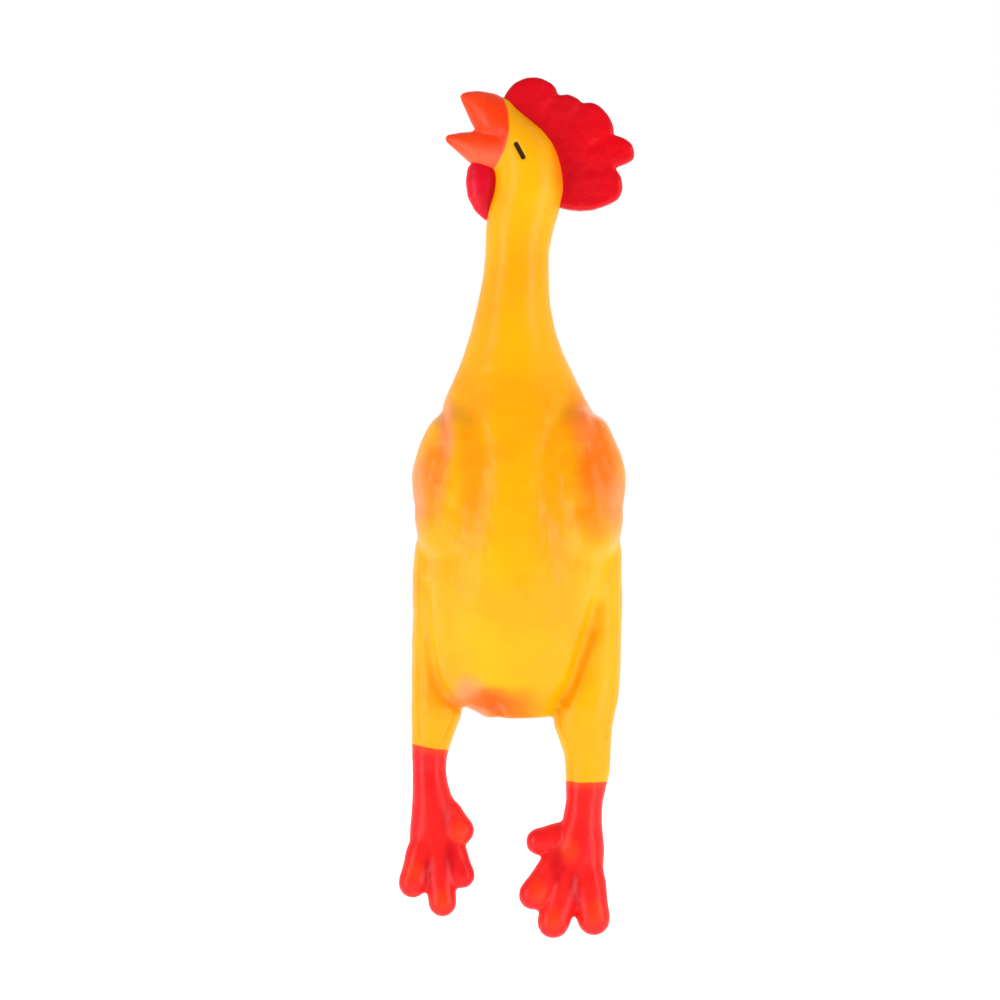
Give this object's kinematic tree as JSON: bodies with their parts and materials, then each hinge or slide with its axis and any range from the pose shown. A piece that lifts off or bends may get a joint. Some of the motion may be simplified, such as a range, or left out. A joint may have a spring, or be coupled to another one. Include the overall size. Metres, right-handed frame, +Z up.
{
  "type": "rubber chicken",
  "caption": "Limp moulded rubber chicken with its head in profile, open beak, hanging legs and a squeaker; it bends at the neck, hips and ankles.",
  "frame": {"origin": "middle of the neck, where a hand holds it", "axes": "+Z up the neck towards the comb, the breast faces -Y and the beak points to -X"},
  "size_m": [0.1352, 0.0886, 0.4995],
  "materials": {
    "skin": "glossy painted latex",
    "wing_paint": "glossy airbrushed latex",
    "beak_paint": "glossy painted latex",
    "comb_paint": "glossy painted latex",
    "foot_paint": "glossy dipped latex",
    "squeaker_plastic": "natural polyethylene",
    "reed_brass": "rolled strip"
  },
  "bodies": {
    "neck": {"neck_grip": "skin", "throat_flex": "skin", "neck_sway_flex": "skin"},
    "neck_lower": {"neck_band": "skin", "neck_fold_flex": "skin"},
    "head": {"head_skin": "skin", "beak_upper": "beak_paint", "jaw_flex": "beak_paint", "comb_root": "comb_paint", "comb_flex": "comb_paint", "wattle_flex": "comb_paint"},
    "beak": {"beak_lower": "beak_paint"},
    "comb": {"comb_fin": "comb_paint"},
    "wattle": {"wattle": "comb_paint"},
    "torso": {"torso_skin": "skin", "breast_rim": "skin", "wing_left": "wing_paint", "wing_right": "wing_paint", "thigh_left": "skin", "thigh_right": "skin", "hip_flex_left": "skin", "hip_flex_right": "skin", "squeaker_cup": "squeaker_plastic", "squeaker_plate": "squeaker_plastic", "squeaker_clamp": "squeaker_plastic", "squeaker_grille": "squeaker_plastic"},
    "breast": {"breast_pad": "skin"},
    "reed": {"squeaker_reed": "reed_brass"},
    "leg_left": {"leg_left": "skin", "shank_left": "foot_paint", "ankle_flex_left": "foot_paint"},
    "foot_left": {"foot_left": "foot_paint", "toe_outer_left": "foot_paint", "toe_middle_left": "foot_paint", "toe_inner_left": "foot_paint", "toe_back_left": "foot_paint"},
    "leg_right": {"leg_right": "skin", "shank_right": "foot_paint", "ankle_flex_right": "foot_paint"},
    "foot_right": {"foot_right": "foot_paint", "toe_outer_right": "foot_paint", "toe_middle_right": "foot_paint", "toe_inner_right": "foot_paint", "toe_back_right": "foot_paint"}
  },
  "joints": [
    {"name": "head_nod", "type": "hinge", "parent": "neck", "child": "head", "pos_m": [0.002, 0, 0.019], "axis": [0, 1, 0], "range_deg": [-28, 28], "stiffness_Nm_per_rad": 3, "deforming": ["throat_flex"]},
    {"name": "neck_sway", "type": "hinge", "parent": "neck", "child": "neck_lower", "pos_m": [-0.002, 0, -0.021], "axis": [0, 1, 0], "range_deg": [-30, 30], "stiffness_Nm_per_rad": 2, "deforming": ["neck_sway_flex"]},
    {"name": "neck_fold", "type": "hinge", "parent": "neck_lower", "child": "torso", "pos_m": [-0.002, 0, -0.049], "axis": [1, 0, 0], "range_deg": [-30, 30], "stiffness_Nm_per_rad": 2, "deforming": ["neck_fold_flex"]},
    {"name": "jaw_close", "type": "hinge", "parent": "head", "child": "beak", "pos_m": [-0.02, 0, 0.074], "axis": [0, 1, 0], "range_deg": [0, 25], "stiffness_Nm_per_rad": 0.05, "deforming": ["jaw_flex"]},
    {"name": "comb_flop", "type": "hinge", "parent": "head", "child": "comb", "pos_m": [0.05124, 0, 0.02497], "axis": [0.438, 0, -0.899], "range_deg": [-30, 30], "stiffness_Nm_per_rad": 0.3, "deforming": ["comb_flex"]},
    {"name": "wattle_swing", "type": "hinge", "parent": "head", "child": "wattle", "pos_m": [-0.021, 0, 0.0555], "axis": [1, 0, 0], "range_deg": [-35, 35], "stiffness_Nm_per_rad": 0.02, "deforming": ["wattle_flex"]},
    {"name": "hip_left", "type": "hinge", "parent": "torso", "child": "leg_left", "pos_m": [-0.048, 0, -0.265], "axis": [1, 0, 0], "range_deg": [-45, 45], "stiffness_Nm_per_rad": 0.5, "deforming": ["hip_flex_left"]},
    {"name": "ankle_left", "type": "hinge", "parent": "leg_left", "child": "foot_left", "pos_m": [-0.048, 0, -0.297], "axis": [1, 0, 0], "range_deg": [-35, 35], "stiffness_Nm_per_rad": 0.3, "deforming": ["ankle_flex_left"]},
    {"name": "hip_right", "type": "hinge", "parent": "torso", "child": "leg_right", "pos_m": [0.039, 0, -0.265], "axis": [1, 0, 0], "range_deg": [-45, 45], "stiffness_Nm_per_rad": 0.5, "deforming": ["hip_flex_right"]},
    {"name": "ankle_right", "type": "hinge", "parent": "leg_right", "child": "foot_right", "pos_m": [0.039, 0, -0.313], "axis": [1, 0, 0], "range_deg": [-35, 35], "stiffness_Nm_per_rad": 0.3, "deforming": ["ankle_flex_right"]},
    {"name": "breast_squeeze", "type": "slide", "parent": "torso", "child": "breast", "axis": [0, 1, 0], "range_m": [0, 0.012], "stiffness_N_per_m": 900, "deforming": ["breast_rim"]},
    {"name": "reed_flutter", "type": "hinge", "parent": "torso", "child": "reed", "pos_m": [-0.0045, 0, -0.25048], "axis": [0, 1, 0], "range_deg": [-3, 3], "stiffness_Nm_per_rad": 0.002}
  ]
}
